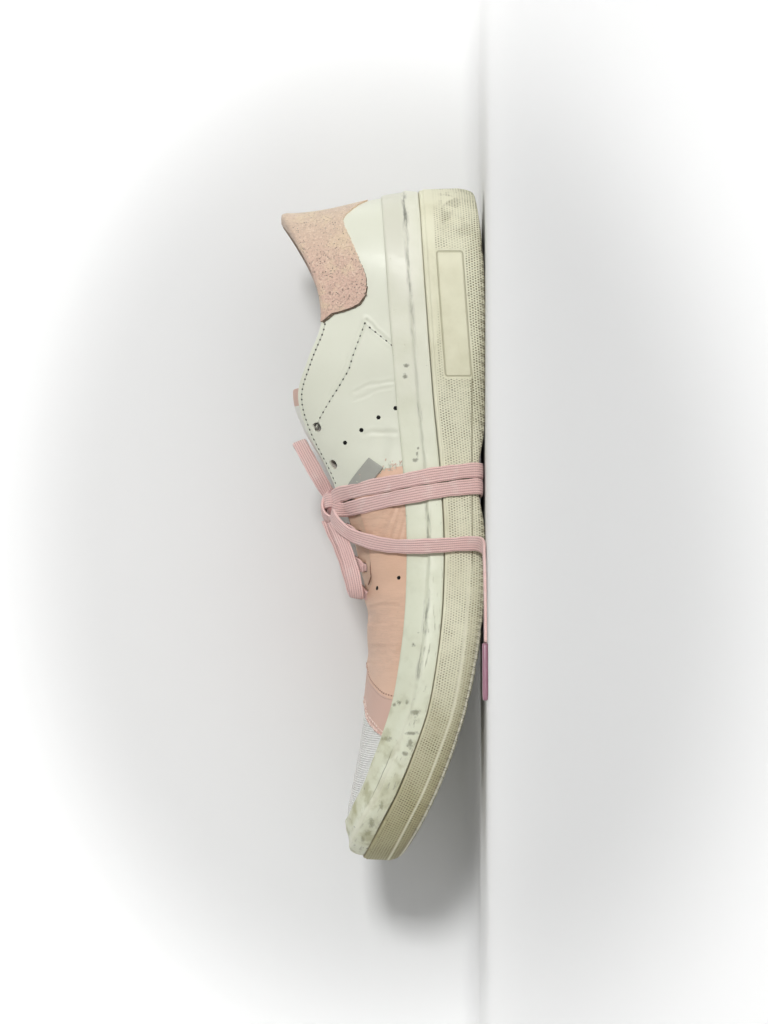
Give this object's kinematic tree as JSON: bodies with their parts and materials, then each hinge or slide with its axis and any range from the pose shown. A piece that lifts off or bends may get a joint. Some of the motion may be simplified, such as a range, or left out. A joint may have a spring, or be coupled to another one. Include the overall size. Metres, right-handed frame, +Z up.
{
  "type": "sneaker",
  "caption": "Worn low sneaker for the right foot: rubber cup sole with toe spring, lasted leather upper, heel tab and flat laces wound round the waist.",
  "frame": {"origin": "on the floor, under the middle of the shoe's box, its free lace end left out", "axes": "+X to the toe, +Y to the inner (medial) side, +Z up"},
  "size_m": [0.27, 0.1288, 0.0808],
  "materials": {
    "sole_rubber": "matt, fine dot texture, dirty",
    "rand_rubber": "satin, scuffed",
    "leather": "smooth, creased",
    "suede": "napped, frayed",
    "lining": "woven",
    "lace": "flat woven cotton",
    "aglet": "glossy film"
  },
  "bodies": {
    "root": {"cup_sole": "sole_rubber", "insole": "lining", "upper": "leather", "rand": "rand_rubber", "heel_tab": "suede", "tongue": "leather", "lace_bar_1": "lace", "lace_bar_2": "lace", "lace_bar_3": "lace", "lace_turn_1": "lace", "lace_turn_2": "lace", "lace_knot": "lace", "lace_loop_a": "lace", "lace_loop_b": "lace", "lace_end": "lace", "aglet": "aglet"}
  },
  "joints": []
}
